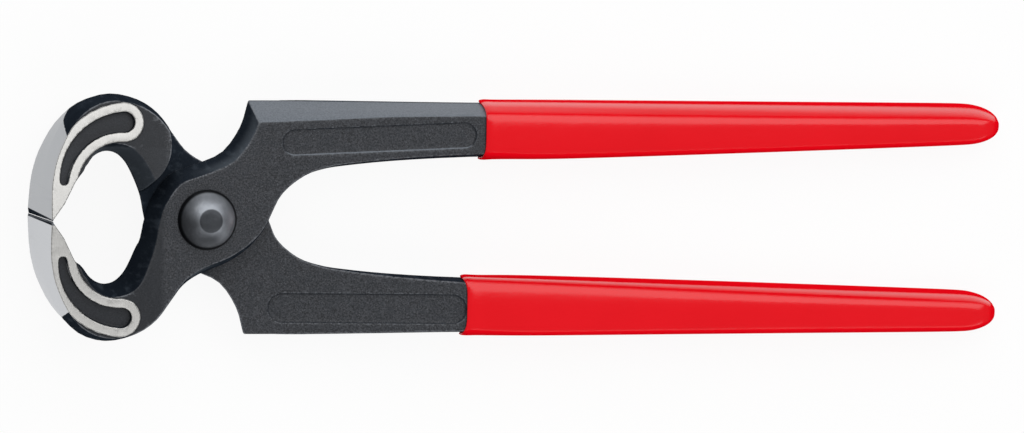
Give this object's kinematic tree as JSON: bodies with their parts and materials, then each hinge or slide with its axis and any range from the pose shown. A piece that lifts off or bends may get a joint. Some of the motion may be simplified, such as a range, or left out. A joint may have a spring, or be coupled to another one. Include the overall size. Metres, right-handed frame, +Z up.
{
  "type": "end cutting nippers",
  "caption": "Forged end cutting nippers of the carpenter's pincer pattern: round jaws with a full-width cutting edge, a riveted lap joint and dip-coated straight handles.",
  "frame": {"origin": "under the middle of the closed tool lying flat, at the height of its lowest point", "axes": "+X along the tool from the jaws to the handle ends, +Z up through the rivet towards its domed head, +Y from one handle to the other"},
  "size_m": [0.2248, 0.0562, 0.025],
  "materials": {
    "forged_steel": "black forged, with ground bright faces on the jaws",
    "rivet_steel": "dark satin",
    "dip_coat": "gloss dipped plastic"
  },
  "bodies": {
    "front": {"front_half": "forged_steel", "pivot_rivet": "rivet_steel", "upper_grip": "dip_coat"},
    "rear": {"rear_half": "forged_steel", "lower_grip": "dip_coat"}
  },
  "joints": [
    {"name": "jaws", "type": "hinge", "parent": "front", "child": "rear", "pos_m": [-0.0753, 0, 0.0125], "axis": [0, 0, -1], "range_deg": [-0.2, 38]}
  ]
}
